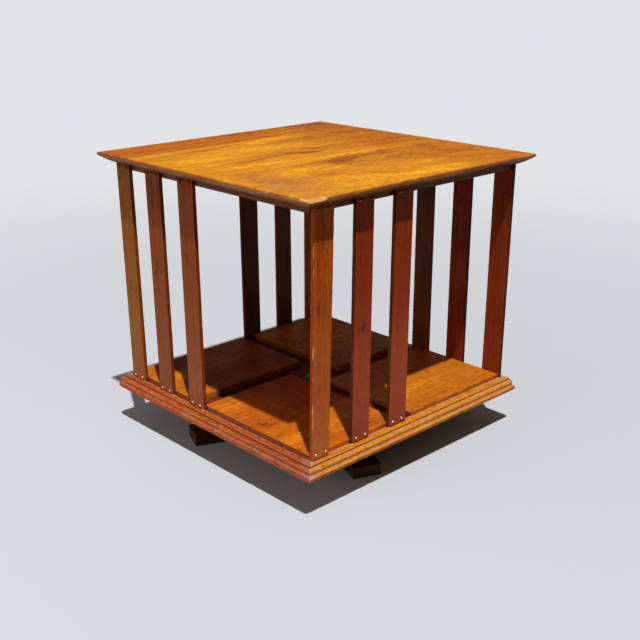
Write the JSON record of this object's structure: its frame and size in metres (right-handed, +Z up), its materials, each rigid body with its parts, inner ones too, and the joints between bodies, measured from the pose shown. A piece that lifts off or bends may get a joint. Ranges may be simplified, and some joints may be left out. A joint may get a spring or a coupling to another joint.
{
  "type": "revolving desktop bookcase",
  "caption": "Square slatted desktop bookcase that revolves on a low crossed foot, with an open bay for books on each side.",
  "frame": {"origin": "centre of the footprint on the surface it stands on, which is on the pivot's axis", "axes": "+Z up along the pivot, -Y out of the front side, +X out of the right side"},
  "size_m": [0.38, 0.38, 0.3591],
  "materials": {
    "top_wood": "honey-coloured, varnished, worn arrises",
    "shelf_wood": "golden orange, varnished",
    "base_wood": "dark reddish brown, varnished",
    "moulding_wood": "orange red, varnished, rubbed edges",
    "slat_wood": "red brown, varnished",
    "rail_wood": "dark brown, old varnish",
    "foot_wood": "dark chocolate brown, satin",
    "nail_brass": "polished, slightly tarnished",
    "bearing_brass": "turned, greased",
    "pivot_steel": "dull, darkened"
  },
  "bodies": {
    "stand": {"foot_bar_lower": "foot_wood", "foot_bar_upper": "foot_wood", "hub_block": "foot_wood", "hub_screws": "pivot_steel", "lower_pivot_plate": "pivot_steel", "lower_plate_screws": "pivot_steel", "thrust_washer": "bearing_brass", "pivot_bolt": "pivot_steel", "retaining_washer": "pivot_steel", "pivot_nut": "pivot_steel"},
    "case": {"base_board": "base_wood", "base_moulding_back": "moulding_wood", "base_moulding_front": "moulding_wood", "base_moulding_left": "moulding_wood", "base_moulding_right": "moulding_wood", "foot_nails_back": "nail_brass", "foot_nails_front": "nail_brass", "foot_nails_left": "nail_brass", "foot_nails_right": "nail_brass", "head_nails_back": "nail_brass", "head_nails_front": "nail_brass", "head_nails_left": "nail_brass", "head_nails_right": "nail_brass", "pivot_bush": "bearing_brass", "shelf_board_back": "shelf_wood", "shelf_board_front": "shelf_wood", "shelf_board_left": "shelf_wood", "shelf_board_right": "shelf_wood", "shelf_board_screws": "pivot_steel", "slat_back_1": "slat_wood", "slat_back_2": "slat_wood", "slat_back_3": "slat_wood", "slat_front_1": "slat_wood", "slat_front_2": "slat_wood", "slat_front_3": "slat_wood", "slat_left_1": "slat_wood", "slat_left_2": "slat_wood", "slat_left_3": "slat_wood", "slat_right_1": "slat_wood", "slat_right_2": "slat_wood", "slat_right_3": "slat_wood", "top_plank_left": "top_wood", "top_plank_middle": "top_wood", "top_plank_right": "top_wood", "top_rail_back": "rail_wood", "top_rail_front": "rail_wood", "top_rail_left": "rail_wood", "top_rail_right": "rail_wood", "top_screws": "pivot_steel", "upper_pivot_plate": "pivot_steel", "upper_plate_screws": "pivot_steel"}
  },
  "joints": [
    {"name": "case_turn", "type": "hinge", "parent": "stand", "child": "case", "pos_m": [0, 0, 0.0553], "axis": [0, 0, 1], "continuous": true}
  ]
}
